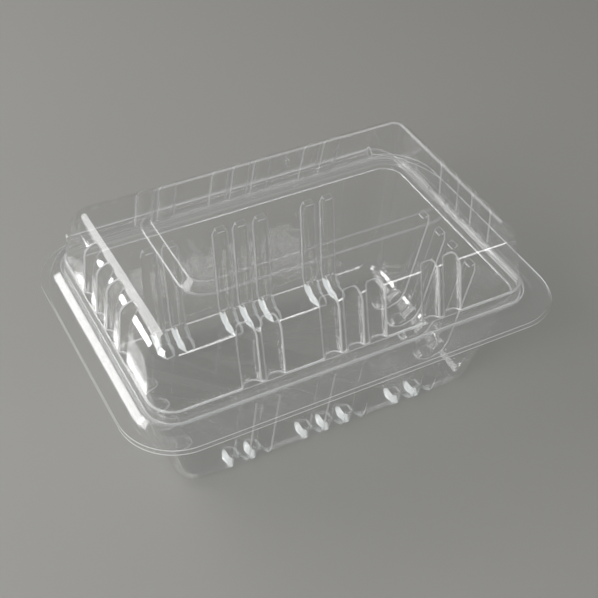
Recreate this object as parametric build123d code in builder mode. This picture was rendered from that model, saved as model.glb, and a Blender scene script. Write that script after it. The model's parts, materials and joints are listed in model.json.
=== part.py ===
from build123d import *
from collections import namedtuple
from math import atan, copysign, cos, degrees, hypot, pi, sin, sqrt
import os

os.makedirs("parts", exist_ok=True)

# Clear food pack with a hinged lid, formed as one PET sheet and shown closed.
# Millimetres. The base stands on z = 0, X runs along the length, the hinge is at +Y.

# Sheet and fits
sheet = 0.5
nest_gap = 0.3
overrun = 1.0

# Flats that stand in for the rounding inside an edge: their reach as a share of the inner radius
flat_share = 0.965
flat_turn_shares = (1 / 3, 2 / 3)

# Tray, from the base it stands on to the top of its flange
tray_height = 55.2
rim_length = 161.8
rim_width = 102.6
base_length = 139.4
base_width = 85.8
tray_round = 10.0

# Lid, with heights above the top of its flange
skirt_rise = 5.5
skirt_flare = 0.4
ledge = 0.6
crown_rise = 32.0
foot_length = 165.8
foot_width = 106.0
crown_length = 160.4
crown_width = 93.0
lid_round = 10.5

# Raised panel on top of the lid
panel_rise = 3.4
panel_run = 3.8
panel_length = 108.6
panel_width = 46.6
panel_corner = 6.5

# Flutes in the walls of both halves
flute_depth = 2.4
flute_floor = 4.4
flute_mouth = 7.4
flute_pitch = 10.1
group_offset = 39.7
end_flute_inner = 5.25
end_flute_outer = 18.6

# Flutes of the lid grow deeper towards the crown, those of the tray turn in under the base
lid_flute_crown_depth = 2.8
lid_end_flute_crown_depth = 4.5
tray_flute_drop = 7.0
tray_flute_ramp = 3.0
base_flute_run = 10.9
base_flute_turn = 4.4

# Bead round the flanges, measured outwards from its inner foot
bead_rise = 1.4
bead_inner_run = 1.3
bead_crest = 1.0
bead_outer_run = 2.9

# Flanges
lid_flange_length = 190.0
lid_flange_front = 66.8
lid_flange_turn = 24.6
tray_flange_turn = 38.0
tray_end_overhang = 0.4
tray_front_overhang = 1.2
flange_corner = 22.7

# Hinge, a rolled fold between the two flanges
hinge_length = 151.0
hinge_centre = 63.5
hinge_round = 2.5

Level = namedtuple("Level", "z length width corner")

# Heights of the lid, whose flange lies on the tray's with a small gap
lid_low = tray_height + nest_gap
lid_datum = lid_low + sheet
wall_foot = lid_datum + skirt_rise
crown = lid_datum + crown_rise
panel_top = crown + panel_rise

# Flange of the tray, which stands a little proud of the lid's
tray_flange_length = lid_flange_length + 2 * tray_end_overhang
tray_flange_front = lid_flange_front + tray_front_overhang

tray_rim = Level(tray_height, rim_length, rim_width, tray_round)
tray_base = Level(0, base_length, base_width, tray_round)
lid_foot = Level(wall_foot, foot_length, foot_width, lid_round)
lid_crown = Level(crown, crown_length, crown_width, lid_round)


def outset(level, amount, z):
    """The outline of a level, grown by an amount and set at a height."""
    length = level.length + 2 * amount
    width = level.width + 2 * amount
    return Level(z, length, width, level.corner + amount)


def wall_at(z, low, high, depth):
    """The outline of a drafted wall at a height, at a depth under its outer face."""
    rise = high.z - low.z
    share = (z - low.z) / rise
    length_change = high.length - low.length
    width_change = high.width - low.width
    corner_change = high.corner - low.corner
    length_inset = depth * hypot(2 * rise, length_change) / rise
    width_inset = depth * hypot(2 * rise, width_change) / rise
    length = low.length + length_change * share - length_inset
    width = low.width + width_change * share - width_inset
    return Level(z, length, width, low.corner + corner_change * share - depth)


def drafted_block(low, high):
    """A block with four flat leaning sides between two heights."""
    with BuildPart() as block:
        with BuildSketch(Plane.XZ):
            with BuildLine():
                bottom = Line((-low.length / 2, low.z), (low.length / 2, low.z))
                top = Line((high.length / 2, high.z), (-high.length / 2, high.z))
                Line(bottom @ 1, top @ 0)
                Line(top @ 1, bottom @ 0)
            make_face()
        extrude(amount=low.width + high.width, both=True)
        with BuildSketch(Plane.YZ):
            with BuildLine():
                bottom = Line((-low.width / 2, low.z), (low.width / 2, low.z))
                top = Line((high.width / 2, high.z), (-high.width / 2, high.z))
                Line(bottom @ 1, top @ 0)
                Line(top @ 1, bottom @ 0)
            make_face()
        extrude(amount=low.length + high.length, both=True, mode=Mode.INTERSECT)
    return block.part


def frustum(low, high):
    """A solid with rounded corners and evenly leaning sides between two heights."""
    rise = high.z - low.z
    lean = atan((low.width - high.width) / 2 / rise)
    with BuildPart() as solid:
        with BuildSketch(Plane.XY.offset(low.z)):
            RectangleRounded(low.length, low.width, low.corner)
        extrude(amount=rise, taper=degrees(lean))
    return solid.part


def flute_tool(plane, outline, flank, depth):
    """The cutter for one flute: a floor of the outline's shape and two slanted flanks."""
    slope = (flute_mouth - flute_floor) / 2 / flute_depth
    half = flute_floor / 2 + depth * (hypot(slope, 1) - slope)
    slant = plane.x_dir * flank[0] + plane.y_dir * flank[1]
    spread = plane.z_dir * slope * flank[0]
    with BuildPart() as tool:
        with BuildSketch(plane) as section:
            with BuildLine():
                Polyline(*outline, close=True)
            make_face()
        extrude(amount=half, both=True)
        for side in (1, -1):
            edge = section.sketch.moved(Location(plane.z_dir * side * half))
            way = slant + spread * side
            extrude(edge, amount=way.length, dir=way)
    return tool.part


def lid_flute(plane, reach, crown_reach, crown_depth, depth):
    """A flute in the lid's wall, from the ledge at its foot to where it runs out over the crown."""
    rise = crown - wall_foot
    low = -depth - overrun
    high = rise + overrun
    foot = reach - flute_depth
    lean = (foot - crown_reach + crown_depth) / rise
    floor = foot - depth * hypot(lean, 1)
    clear = reach + crown_depth + overrun
    outline = [(floor - lean * low, low), (floor - lean * high, high), (clear, high), (clear, low)]
    return flute_tool(plane, outline, (crown_depth + overrun, 0), depth)


def tray_flute(plane, reach, base_reach, depth):
    """A flute in the tray's wall that turns in under the base, drawn downwards from the rim."""
    lean = (reach - base_reach) / tray_height
    floor = reach - flute_depth - depth * hypot(lean, 1)
    start = tray_flute_drop - depth
    base = tray_height - flute_depth - depth
    turn = base_flute_turn + depth * (2 - sqrt(2))
    end = base_reach - base_flute_run - depth * (sqrt(2) - 1)
    low = tray_height + overrun
    clear = reach + flute_depth + overrun
    outline = [
        (floor - lean * start, start),
        (floor - lean * (base - turn), base - turn),
        (floor - lean * base - turn, base),
        (end, base),
        (end - low + base, low),
        (clear, low),
        (clear, start - tray_flute_ramp),
    ]
    out = flute_depth + overrun
    return flute_tool(plane, outline, (out, out), depth)


# Places of the flutes along the long walls and along the ends
group = flute_pitch / 2
long_places = [-group_offset - group, -group_offset + group, -flute_pitch, 0]
long_places += [flute_pitch, group_offset - group, group_offset + group]
end_places = [-end_flute_outer, -end_flute_inner, end_flute_inner, end_flute_outer]


def inner_flats(open_end, end, rounding, depth):
    """Planes that ease the inner edges round the closed end of a drafted block."""
    rise = end.z - open_end.z
    up = copysign(1, rise)
    length_lean = (open_end.length - end.length) / 2 / abs(rise)
    width_lean = (open_end.width - end.width) / 2 / abs(rise)
    x = end.length / 2 + length_lean * rounding - rounding * hypot(length_lean, 1)
    y = end.width / 2 + width_lean * rounding - rounding * hypot(width_lean, 1)
    z = end.z - up * rounding
    radius = (rounding - depth) * flat_share
    normals = []
    for share in flat_turn_shares:
        along_x = atan(width_lean) + (pi / 2 - atan(width_lean)) * share
        along_y = atan(length_lean) + (pi / 2 - atan(length_lean)) * share
        corner = pi / 2 * share
        rising = cos(corner) * length_lean + sin(corner) * width_lean
        normals.append((0, cos(along_x), up * sin(along_x)))
        normals.append((cos(along_y), 0, up * sin(along_y)))
        normals.append((cos(corner), sin(corner), up * rising))
        for height_share in flat_turn_shares:
            high = pi / 2 * height_share
            normals.append((cos(corner) * cos(high), sin(corner) * cos(high), up * sin(high)))
    planes = []
    for across in (1, -1):
        for along in (1, -1):
            for normal in normals:
                way = Vector(normal[0] * across, normal[1] * along, normal[2]).normalized()
                planes.append(Plane(Vector(x * across, y * along, z) + way * radius, z_dir=way))
    return planes


def fluted_form(wall, open_end, end, rounding, depth, long_tool, end_tool):
    """A drafted block eased on every edge but those of its open end, with the flutes cut all round.

    The outer face is rounded. The inner face has flats along its edges, which keep it light.
    """
    with BuildPart() as form:
        add(wall)
        if depth > 0:
            for plane in inner_flats(open_end, end, rounding, depth):
                split(bisect_by=plane, keep=Keep.BOTTOM)
        else:
            lip = form.faces().sort_by_distance((0, 0, open_end.z))[0]
            fillet(form.edges() - lip.edges(), rounding)
        with Locations([Location((x, 0, 0), (0, 0, turn)) for x in long_places for turn in (0, 180)]):
            add(long_tool, mode=Mode.SUBTRACT)
        with Locations([Location((0, y, 0), (0, 0, turn)) for y in end_places for turn in (0, 180)]):
            add(end_tool, mode=Mode.SUBTRACT)
    return form.part


def tray_form(depth, top):
    """The body of the tray as a solid, at a depth under its outer face."""
    wall = drafted_block(*[wall_at(z, tray_base, tray_rim, depth) for z in (depth, top)])
    long_plane = Plane((0, 0, tray_height), x_dir=(0, -1, 0), z_dir=(1, 0, 0))
    end_plane = Plane((0, 0, tray_height), x_dir=(1, 0, 0), z_dir=(0, 1, 0))
    long_tool = tray_flute(long_plane, rim_width / 2, base_width / 2, depth)
    end_tool = tray_flute(end_plane, rim_length / 2, base_length / 2, depth)
    return fluted_form(wall, tray_rim, tray_base, tray_round, depth, long_tool, end_tool)


def lid_form(depth):
    """The raised body of the lid as a solid, at a depth under its outer face."""
    wall = drafted_block(*[wall_at(z - depth, lid_foot, lid_crown, depth) for z in (wall_foot, crown)])
    long_plane = Plane((0, 0, wall_foot), x_dir=(0, -1, 0), z_dir=(-1, 0, 0))
    end_plane = Plane((0, 0, wall_foot), x_dir=(1, 0, 0), z_dir=(0, -1, 0))
    long_tool = lid_flute(long_plane, foot_width / 2, crown_width / 2, lid_flute_crown_depth, depth)
    end_tool = lid_flute(end_plane, foot_length / 2, crown_length / 2, lid_end_flute_crown_depth, depth)
    return fluted_form(wall, lid_foot, lid_crown, lid_round, depth, long_tool, end_tool)


def lid_additions(depth, low):
    """The panel above the lid's body and the plain skirt under it."""
    panel_edge = Level(panel_top, panel_length, panel_width, panel_corner)
    panel_levels = (outset(panel_edge, panel_run, crown), panel_edge)
    skirt_levels = (
        outset(lid_foot, ledge + skirt_flare, lid_low),
        outset(lid_foot, ledge, wall_foot),
    )
    panel = frustum(*[wall_at(level.z - depth, *panel_levels, depth) for level in panel_levels])
    skirt = frustum(*[wall_at(z, *skirt_levels, depth) for z in (low, wall_foot - depth)])
    return [panel, skirt]


def bead(low):
    """The ring of the bead as a solid that stands at a height."""
    inner = outset(lid_foot, ledge + skirt_flare, low)
    crest_inner = outset(inner, bead_inner_run, low + bead_rise)
    crest_outer = outset(crest_inner, bead_crest, low + bead_rise)
    outer = outset(crest_outer, bead_outer_run, low)
    ridge = frustum(outer, crest_outer)
    middle = frustum(inner, crest_inner)
    return ridge - middle


def flange_edge(length, front, turn):
    """The edge of a flange: round front corners, wide back corners that end at the hinge."""
    half = length / 2
    hinge_half = hinge_length / 2
    back = hinge_centre - hinge_round + sheet
    left = Line((-half, turn), (-half, flange_corner - front))
    front_left = TangentArc(left @ 1, (flange_corner - half, -front), tangent=left % 1)
    front_run = Line(front_left @ 1, (half - flange_corner, -front))
    front_right = TangentArc(front_run @ 1, (half, flange_corner - front), tangent=front_run % 1)
    right = Line(front_right @ 1, (half, turn))
    back_right = TangentArc(right @ 1, (hinge_half, back), tangent=right % 1)
    hinge_run = Line(back_right @ 1, (-hinge_half, back))
    TangentArc(left @ 0, hinge_run @ 1, tangent=(0, 1))


def hinge_roll(low, side, radius):
    """Half of the hinge's roll, above or below a height."""
    with BuildPart() as roll:
        with BuildSketch(Plane.YZ):
            with Locations((hinge_centre, low)):
                Circle(radius)
            with Locations((hinge_centre, low - side * hinge_round)):
                Rectangle(2 * hinge_round, 2 * hinge_round, mode=Mode.SUBTRACT)
        extrude(amount=hinge_length / 2, both=True)
    return roll.part


tray_outside = tray_form(0, tray_height)
tray_inside = tray_form(sheet, tray_height + overrun)
tray_bead = bead(tray_height)
tray_bead_hollow = bead(tray_height - sheet)
tray_roll = hinge_roll(tray_height, -1, hinge_round)
tray_roll_hollow = hinge_roll(tray_height, -1, hinge_round - sheet)

with BuildPart() as tray:
    add(tray_outside)
    with BuildSketch(Plane.XY.offset(tray_height - sheet)):
        with BuildLine():
            flange_edge(tray_flange_length, tray_flange_front, tray_flange_turn)
        make_face()
    extrude(amount=sheet)
    add([tray_bead, tray_roll])
    add([tray_inside, tray_bead_hollow, tray_roll_hollow], mode=Mode.SUBTRACT)

lid_outside = lid_form(0)
lid_inside = lid_form(sheet)
lid_outside_more = lid_additions(0, lid_low)
lid_inside_more = lid_additions(sheet, lid_low - overrun)
lid_bead = bead(lid_datum)
lid_bead_hollow = bead(lid_low)
lid_roll = hinge_roll(lid_low, 1, hinge_round)
lid_roll_hollow = hinge_roll(lid_low, 1, hinge_round - sheet)

with BuildPart() as lid:
    add(lid_outside)
    add(lid_outside_more)
    with BuildSketch(Plane.XY.offset(lid_low)):
        with BuildLine():
            flange_edge(lid_flange_length, lid_flange_front, lid_flange_turn)
        make_face()
    extrude(amount=sheet)
    add([lid_bead, lid_roll])
    add([lid_inside, *lid_inside_more, lid_bead_hollow, lid_roll_hollow], mode=Mode.SUBTRACT)

tray.part.label = "tray"
lid.part.label = "lid"
export_step(tray.part, "parts/tray.step")
export_step(lid.part, "parts/lid.step")
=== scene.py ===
import bpy
import json
from math import radians
from mathutils import Matrix, Vector

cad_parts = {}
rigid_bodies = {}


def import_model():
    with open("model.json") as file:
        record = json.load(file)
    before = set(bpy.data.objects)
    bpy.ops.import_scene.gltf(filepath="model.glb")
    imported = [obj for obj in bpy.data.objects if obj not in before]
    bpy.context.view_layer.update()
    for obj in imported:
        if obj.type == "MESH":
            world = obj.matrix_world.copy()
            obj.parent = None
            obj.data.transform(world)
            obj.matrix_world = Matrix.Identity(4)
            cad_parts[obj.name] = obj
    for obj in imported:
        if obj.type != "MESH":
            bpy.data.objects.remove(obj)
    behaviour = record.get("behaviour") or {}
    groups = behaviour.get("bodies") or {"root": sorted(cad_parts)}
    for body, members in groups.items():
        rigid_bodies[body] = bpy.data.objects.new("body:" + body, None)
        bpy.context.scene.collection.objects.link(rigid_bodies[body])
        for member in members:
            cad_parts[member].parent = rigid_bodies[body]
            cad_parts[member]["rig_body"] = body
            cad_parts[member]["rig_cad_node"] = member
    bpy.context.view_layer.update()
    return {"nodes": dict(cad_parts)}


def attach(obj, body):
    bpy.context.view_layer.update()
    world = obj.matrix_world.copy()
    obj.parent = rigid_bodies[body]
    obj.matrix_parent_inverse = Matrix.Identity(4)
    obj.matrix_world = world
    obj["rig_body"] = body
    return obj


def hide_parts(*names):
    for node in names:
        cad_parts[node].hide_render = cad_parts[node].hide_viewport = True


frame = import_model()

# A clear food pack, formed as one PET sheet: a fluted tray and a fluted lid that fold together.
# Metres, in the part's own frame. The pack stands on z = 0 with its hinge at +Y.

mm = 0.001

# Sizes shared with the solids
sheet = 0.5 * mm
tray_flange_low = 54.7 * mm
lid_flange_low = 55.5 * mm
hinge_half = 75.5 * mm
hinge_back = 66.0 * mm
hinge_front = 61.0 * mm

# Where the parts of a half lie: the bead above the underside of the flange, the folds round it,
# the lid's panel, the tray's turn into the base, and the feet of the flutes there
bead_top = 2.0 * mm
bead_reach = 6.6 * mm
flange_clear = 1.0 * mm
panel_low = 87.0 * mm
base_turn_low = 0.5 * mm
base_turn_high = 14.0 * mm
foot_top = 5.0 * mm
foot_span = 55.0 * mm

# Widths that the forming leaves on the folds of the sheet, and how many faces round each
hollow_width, hollow_steps = 1.2 * mm, 3
mouth_width, mouth_steps = 0.5 * mm, 2
panel_width, panel_steps = 0.5 * mm, 3
tight_width, tight_steps = 0.2 * mm, 2

# The thickness of the sheet square to the bead's slopes, as a share of that elsewhere
bead_share = 0.68

# A fold turns by more than the sharp angle, and one flat by less than the flat angle.
# Shading is smooth up to the smooth angle.
sharp_angle = radians(30)
flat_angle = radians(0.3)
smooth_angle = radians(22)
long_fold = 3.0 * mm

# Shares of a face's normal that tell which way it looks
level = 0.999
square_on = 0.9
slanted = 0.3
upright = 0.2

# How near counts as the same place, and how near the corners of the solid's mesh are joined
near = 0.02 * mm
weld = 0.08 * mm


def linear(hex_text):
    """The linear colour of an sRGB hex value."""
    values = [int(hex_text[i : i + 2], 16) / 255 for i in (1, 3, 5)]
    return [v / 12.92 if v <= 0.04045 else ((v + 0.055) / 1.055) ** 2.4 for v in values] + [1.0]


def add_node(tree, kind, settings=None, values=None, links=None):
    """Adds a node with its settings, its plain input values and the links into it."""
    node = tree.nodes.new(kind)
    for name, value in (settings or {}).items():
        setattr(node, name, value)
    for name, value in (values or {}).items():
        node.inputs[name].default_value = value
    for name, source in (links or {}).items():
        tree.links.new(source, node.inputs[name])
    return node


def mix(tree, share, first, second):
    """A mix of two shaders. The share of the second is a plain value or another node's output."""
    plain = isinstance(share, float)
    node = add_node(
        tree,
        "ShaderNodeMixShader",
        values={"Fac": share} if plain else None,
        links=None if plain else {"Fac": share},
    )
    tree.links.new(first, node.inputs[1])
    tree.links.new(second, node.inputs[2])
    return node.outputs["Shader"]


# PET bends light by this ratio
pet_ratio = 1.57
ripple_size, ripple_depth = 22 * mm, 0.5 * mm
grain_size, grain_depth = 1.3 * mm, 0.25 * mm


def clear_pet(name, pale, knurl=False):
    """Clear PET, thermoformed. It mirrors at a slant, lets the rest through, and ripples a little.

    pale is the share of white diffuse: hardly any real haze where the sheet is flat, and a painted
    highlight at its folds, at the flutes' feet and on the cut edge.
    knurl adds the fine embossed grain of the flanges.
    """
    material = bpy.data.materials.new(name)
    material.use_nodes = True
    tree = material.node_tree
    tree.nodes.clear()
    place = add_node(tree, "ShaderNodeTexCoord").outputs["Object"]

    # Wide ripples, from the sheet cooling on the mould
    ripple = add_node(
        tree,
        "ShaderNodeTexNoise",
        values={"Scale": 1 / ripple_size, "Detail": 1.0, "Roughness": 0.4},
        links={"Vector": place},
    )
    bump = add_node(
        tree,
        "ShaderNodeBump",
        values={"Strength": 0.35, "Distance": ripple_depth},
        links={"Height": ripple.outputs["Fac"]},
    )
    if knurl:
        # The grain is drawn a little coarser than the real one so that it shows
        grain = add_node(
            tree,
            "ShaderNodeTexVoronoi",
            settings={"feature": "SMOOTH_F1"},
            values={"Scale": 1 / grain_size, "Randomness": 0.35},
            links={"Vector": place},
        )
        bump = add_node(
            tree,
            "ShaderNodeBump",
            values={"Strength": 0.5, "Distance": grain_depth},
            links={"Height": grain.outputs["Distance"], "Normal": bump.outputs["Normal"]},
        )
    normal = {"Normal": bump.outputs["Normal"]}

    # The same share is mirrored from either side of a face, so the ratio turns over on its back
    back = add_node(tree, "ShaderNodeNewGeometry").outputs["Backfacing"]
    ratio = add_node(
        tree,
        "ShaderNodeMapRange",
        values={"From Min": 0.0, "From Max": 1.0, "To Min": pet_ratio, "To Max": 1 / pet_ratio},
        links={"Value": back},
    )
    mirrored = add_node(
        tree, "ShaderNodeFresnel", links={"IOR": ratio.outputs["Result"], **normal}
    )

    # What isn't mirrored goes through, apart from the pale share: haze on the flat sheet, painted
    # highlight on the folds, the feet and the cut edge
    through = add_node(tree, "ShaderNodeBsdfTransparent", values={"Color": linear("#FEFEFE")})
    haze_and_painted_highlight = add_node(
        tree, "ShaderNodeBsdfDiffuse", values={"Color": linear("#F6F8F8")}, links=normal
    )
    gloss = add_node(
        tree,
        "ShaderNodeBsdfGlossy",
        values={"Color": linear("#FFFFFF"), "Roughness": 0.06},
        links=normal,
    )
    clear = mix(tree, pale, through.outputs["BSDF"], haze_and_painted_highlight.outputs["BSDF"])
    surface = mix(tree, mirrored.outputs["Fac"], clear, gloss.outputs["BSDF"])

    # Lamps shine through the sheet and lose a little at each face
    lamps = add_node(tree, "ShaderNodeLightPath").outputs["Is Shadow Ray"]
    lit = add_node(tree, "ShaderNodeBsdfTransparent", values={"Color": linear("#F0F1F1")})
    finish = mix(tree, lamps, surface, lit.outputs["BSDF"])
    add_node(tree, "ShaderNodeOutputMaterial", links={"Surface": finish})
    return material


# The sheet's materials, in the order in which each half carries them. Past the flat sheet and the
# flange, the white share is a painted highlight standing in for the light along the folds. The
# wide folds of the lid's panel are clearer than the tight ones. The feet of the long walls' flutes
# bend tightly both ways and carry a painted highlight that reads as white dashes. The cut edge
# carries the whitest painted highlight.
sheets = {
    "flat": clear_pet("clear_pet_sheet", pale=0.008),
    "fold": clear_pet("clear_pet_folds_painted_highlight", pale=0.3),
    "flange": clear_pet("clear_pet_flange", pale=0.015, knurl=True),
    "foot": clear_pet("clear_pet_flute_feet_painted_highlight", pale=0.85),
    "panel": clear_pet("clear_pet_panel_folds_painted_highlight", pale=0.1),
    "cut": clear_pet("clear_pet_cut_edge_painted_highlight", pale=0.9),
}
number = {name: i for i, name in enumerate(sheets)}
as_beside = -1


def select_only(piece):
    """Leaves one piece selected and active."""
    bpy.ops.object.select_all(action="DESELECT")
    piece.select_set(True)
    bpy.context.view_layer.objects.active = piece


def select_nothing_in(piece):
    """Leaves no face, edge or corner of a piece selected, in object mode."""
    bpy.ops.object.mode_set(mode="OBJECT")
    for items in (piece.data.polygons, piece.data.edges, piece.data.vertices):
        for item in items:
            item.select = False


def edit_all():
    """Goes to edit mode with all of the active piece selected."""
    bpy.ops.object.mode_set(mode="EDIT")
    bpy.ops.mesh.select_all(action="SELECT")


def sharp_folds(piece):
    """The sharp edges of a piece, each with its two ends and the two faces beside it."""
    beside = {}
    for face in piece.data.polygons:
        for key in face.edge_keys:
            beside.setdefault(key, []).append(face)
    corners = piece.data.vertices
    folds = []
    for edge in piece.data.edges:
        sides = beside.get(edge.key, [])
        if len(sides) == 2 and sides[0].normal.angle(sides[1].normal) > sharp_angle:
            folds.append((edge, [corners[i].co for i in edge.vertices], sides))
    return folds


def soften(piece, wanted, width, steps, material):
    """Rounds the sharp edges of a piece that are wanted, as the forming rounds the sheet's folds.

    wanted gets the two ends of an edge, and whether the fold is hollow seen from outside.
    """
    select_nothing_in(piece)
    corners = piece.data.vertices
    for edge, ends, sides in sharp_folds(piece):
        beyond = [corners[i].co for i in sides[1].vertices if i not in edge.vertices]
        away = max((c - ends[0] for c in beyond), key=lambda c: abs(c.dot(sides[0].normal)))
        edge.select = wanted(*ends, away.dot(sides[0].normal) > 0)
    bpy.context.tool_settings.mesh_select_mode = (False, True, False)
    bpy.ops.object.mode_set(mode="EDIT")
    bpy.ops.mesh.bevel(
        offset=width, segments=steps, affect="EDGES", clamp_overlap=False, material=material
    )
    bpy.ops.object.mode_set(mode="OBJECT")


def outer_face(node, name, flange_low, outer_way):
    """The outer face of a half's solid, open at its cut edge.

    outer_way is 1 where the outer face looks up, as on the lid, and -1 where it looks down.
    """
    select_only(frame["nodes"][node])
    bpy.ops.object.duplicate()
    half = bpy.context.active_object
    half.name = name
    half.data.name = name
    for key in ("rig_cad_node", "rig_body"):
        del half[key]
    half.data.materials.clear()
    for material in sheets.values():
        half.data.materials.append(material)
    bpy.ops.mesh.customdata_custom_splitnormals_clear()
    edit_all()
    bpy.ops.mesh.remove_doubles(threshold=weld)

    def on_cut_edge(corners, normal):
        if all(abs(c.x) < hinge_half + near and c.y > hinge_front - near for c in corners):
            at_fold = all(c.y > hinge_back - sheet - near for c in corners)
            return abs(normal.x) > square_on or (at_fold and abs(normal.z) > level)
        on_flange = all(flange_low - near < c.z < flange_low + sheet + near for c in corners)
        return on_flange and abs(normal.z) < upright

    # The cut edge round the flange and the hinge goes, which parts the two faces of the sheet
    select_nothing_in(half)
    corners = half.data.vertices
    for face in half.data.polygons:
        face.select = on_cut_edge([corners[i].co for i in face.vertices], face.normal)
    bpy.context.tool_settings.mesh_select_mode = (False, False, True)
    bpy.ops.object.mode_set(mode="EDIT")
    bpy.ops.mesh.delete(type="FACE")

    # Only what hangs together with the outermost corner stays
    select_nothing_in(half)
    max(half.data.vertices, key=lambda v: v.co.z * outer_way).select = True
    bpy.context.tool_settings.mesh_select_mode = (True, False, False)
    bpy.ops.object.mode_set(mode="EDIT")
    bpy.ops.mesh.select_linked()
    bpy.ops.mesh.select_all(action="INVERT")
    bpy.ops.mesh.delete(type="VERT")
    bpy.ops.mesh.select_all(action="SELECT")
    bpy.ops.mesh.dissolve_limited(angle_limit=flat_angle)
    bpy.ops.object.mode_set(mode="OBJECT")

    # The level part of the flange carries the grain
    for face in half.data.polygons:
        on_flange = flange_low - near < face.center.z < flange_low + sheet + near
        if on_flange and abs(face.normal.z) > level:
            face.material_index = number["flange"]
    select_only(half)
    bpy.ops.object.shade_smooth()
    return half


def round_folds(half, flange_low):
    """Rounds the folds of a half's face."""

    def by_flange(a, b):
        return abs((a.z + b.z) / 2 - flange_low) < bead_reach

    def across_flute(a, b):
        return base_turn_low < a.z < base_turn_high and abs(a.z - b.z) < near

    def on_wall(a, b):
        return not by_flange(a, b) and max(a.z, b.z) < panel_low

    def flute_bottom(a, b, hollow):
        run = b - a
        straight = min(abs(run.x), abs(run.y)) < near and run.length > long_fold
        return hollow and straight and on_wall(a, b)

    def flute_mouth(a, b, hollow):
        return on_wall(a, b) and not hollow and not across_flute(a, b)

    def panel_fold(a, b, hollow):
        return min(a.z, b.z) > panel_low

    def bead_fold(a, b, hollow):
        return by_flange(a, b) and (a.y + b.y) / 2 < hinge_front - flange_clear

    # The bottoms of the flutes are well rounded, their mouths and the panel have tighter folds,
    # and those of the bead and the skirt are tighter still. The rounded mouths, the panel's folds
    # and the bead's folds take white materials that paint a highlight along them; the flutes'
    # bottoms keep the material beside them.
    soften(half, flute_bottom, hollow_width, hollow_steps, as_beside)
    soften(half, flute_mouth, mouth_width, mouth_steps, number["fold"])
    soften(half, panel_fold, panel_width, panel_steps, number["panel"])
    soften(half, bead_fold, tight_width, tight_steps, number["fold"])

    # What the rounding leaves without an area goes
    edit_all()
    bpy.ops.mesh.remove_doubles(threshold=near)
    bpy.ops.mesh.dissolve_degenerate(threshold=near)
    bpy.ops.object.mode_set(mode="OBJECT")


def paint_highlight_on_feet(half):
    """Paints a highlight on the flanks of the long walls' flutes where they run in under the base,
    by giving them the feet's white material.
    """
    edit_all()
    bpy.ops.mesh.bisect(plane_co=(0, 0, foot_top), plane_no=(0, 0, 1))
    bpy.ops.object.mode_set(mode="OBJECT")
    for face in half.data.polygons:
        low = face.center.z < foot_top and abs(face.center.x) < foot_span
        if low and abs(face.normal.x) > slanted:
            face.material_index = number["foot"]


def give_thickness(half, flange_low):
    """Makes the face of a half into a sheet, and shades it."""
    # The two beads nest a set height apart, so the sheet is thinner square to their slopes
    on_bead = set()
    for face in half.data.polygons:
        sloped = abs(face.normal.z) < level and face.center.y < hinge_front - flange_clear
        if sloped and flange_low < face.center.z < flange_low + bead_top:
            on_bead.update(face.vertices)
    drawn = half.vertex_groups.new(name="drawn")
    for corner in half.data.vertices:
        drawn.add([corner.index], bead_share if corner.index in on_bead else 1.0, "REPLACE")

    # The last material is the highest that the offset can reach, so all of the rim is cut edge
    wall = half.modifiers.new("wall", "SOLIDIFY")
    wall.vertex_group = drawn.name
    wall.thickness = sheet
    wall.offset = -1
    # The rim's white is a painted highlight along the cut edge
    wall.material_offset_rim = number["cut"]
    bpy.ops.object.modifier_apply(modifier="wall")
    half.vertex_groups.clear()

    bpy.ops.object.shade_smooth_by_angle(angle=smooth_angle)
    even = half.modifiers.new("even", "WEIGHTED_NORMAL")
    even.keep_sharp = True
    bpy.ops.object.modifier_apply(modifier="even")


lid = outer_face("lid", "lid_shell", lid_flange_low, 1)
round_folds(lid, lid_flange_low)
give_thickness(lid, lid_flange_low)
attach(lid, "lid")
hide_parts("lid")

tray = outer_face("tray", "tray_shell", tray_flange_low, -1)
round_folds(tray, tray_flange_low)
paint_highlight_on_feet(tray)
give_thickness(tray, tray_flange_low)
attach(tray, "tray")
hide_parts("tray")

# A plain pale floor, far wider than the view
floor_size = 6.0
bpy.ops.object.select_all(action="DESELECT")
bpy.ops.mesh.primitive_plane_add(size=floor_size, location=(0, 0, 0))
floor = bpy.context.active_object
floor.name = "floor"
floor_paint = bpy.data.materials.new("floor_paint")
floor_paint.use_nodes = True
paint = floor_paint.node_tree.nodes["Principled BSDF"]
paint.inputs["Base Color"].default_value = linear("#A2A19E")
paint.inputs["Roughness"].default_value = 0.85
paint.inputs["Specular IOR Level"].default_value = 0.2
floor.data.materials.append(floor_paint)

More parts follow.
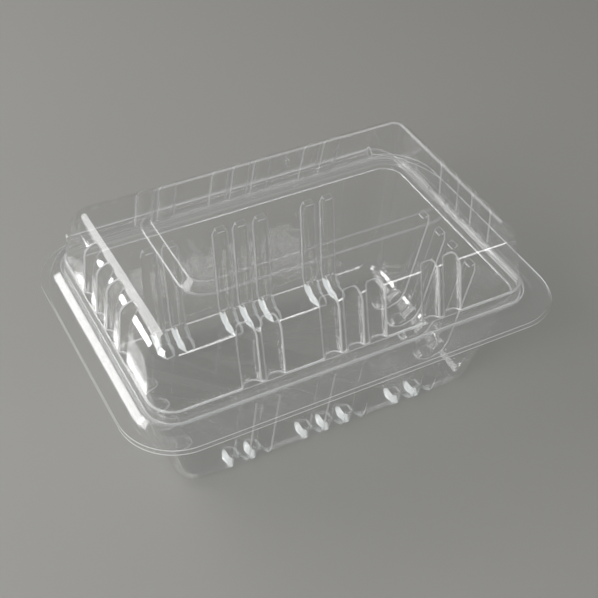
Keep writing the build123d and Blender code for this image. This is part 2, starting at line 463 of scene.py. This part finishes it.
# Soft room light all round
room = bpy.data.worlds.new("room")
bpy.context.scene.world = room
room.use_nodes = True
glow = room.node_tree.nodes["Background"]
glow.inputs["Color"].default_value = linear("#EEEDEA")
glow.inputs["Strength"].default_value = 0.27

middle = Vector((0, 0, 50 * mm))


def soft_light(name, place, size, power):
    """A soft flat lamp that looks at the middle of the pack."""
    bpy.ops.object.light_add(type="AREA", location=place)
    lamp = bpy.context.active_object
    lamp.name = name
    lamp.data.shape = "RECTANGLE"
    lamp.data.size, lamp.data.size_y = size
    lamp.data.energy = power
    lamp.rotation_euler = (middle - Vector(place)).to_track_quat("-Z", "Y").to_euler()


# The slopes of the crown and the bead mirror the two windows at the left, with a gap between
# them that keeps the panel's slopes grey. The front edge of the crown mirrors the strip.
soft_light("window_high", (-0.46, 0.63, 0.72), (0.55, 0.4), 2.4)
soft_light("window_low", (-1.15, 1.0, 0.28), (0.25, 0.45), 4)
soft_light("far_window", (0.9, 1.2, 0.36), (1.2, 0.4), 1.5)
soft_light("side_back", (-0.62, 0.2, 0.65), (0.4, 0.4), 1.4)
soft_light("side_front", (-1.1, -0.5, 0.8), (0.6, 0.6), 9)
soft_light("front_strip", (0.54, -1.26, 0.6), (0.9, 0.14), 2.6)

# Camera at the photograph's angle: its own right, up and back directions
right = Vector((0.884, -0.466, 0.031))
back = Vector((-0.3616, -0.6408, 0.6772)).normalized()
up = back.cross(right).normalized()
right = up.cross(back)
turn = Matrix((right, up, back)).transposed().to_4x4()
place = Vector((-179.50, -317.49, 378.80)) * mm
camera = bpy.data.objects.new("camera", bpy.data.cameras.new("camera"))
bpy.context.scene.collection.objects.link(camera)
camera.matrix_world = Matrix.Translation(place) @ turn
camera.data.sensor_width = 36.0
camera.data.lens = 70.02
camera.data.shift_x = 0.0148
camera.data.clip_start = 10 * mm
bpy.context.scene.camera = camera

scene = bpy.context.scene
scene.view_settings.view_transform = "Standard"

# A ray crosses many layers of clear sheet
scene.cycles.transparent_max_bounces = 40
scene.cycles.max_bounces = 7
scene.cycles.glossy_bounces = 3
scene.cycles.diffuse_bounces = 2
